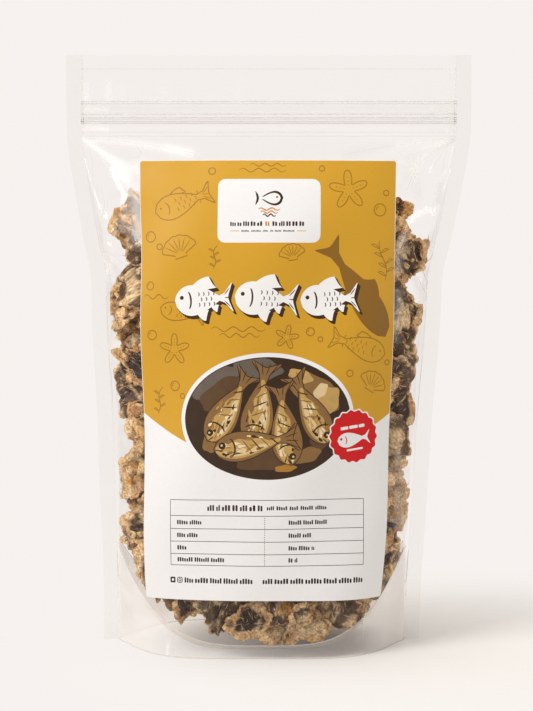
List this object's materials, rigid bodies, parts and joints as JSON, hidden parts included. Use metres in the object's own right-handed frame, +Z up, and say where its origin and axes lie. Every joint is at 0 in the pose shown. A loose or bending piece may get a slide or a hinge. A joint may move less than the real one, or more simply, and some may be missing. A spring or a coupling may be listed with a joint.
{
  "type": "pouch of dried stockfish",
  "caption": "Clear stand-up zip pouch with a paper label, filled with dried stockfish pieces.",
  "frame": {"origin": "middle of the pouch's foot on the surface it stands on", "axes": "+Z up along the pouch, +X to the right along its header, the label faces -Y"},
  "size_m": [0.23, 0.1014, 0.335],
  "materials": {
    "film": "clear glossy film over tan dried fish",
    "stockfish": "rough fibrous dried fish, tan flesh and grey-brown skin",
    "label_paper": "satin printed paper, ochre above and white below"
  },
  "bodies": {
    "root": {"pouch": "film", "label": "label_paper"}
  },
  "joints": []
}
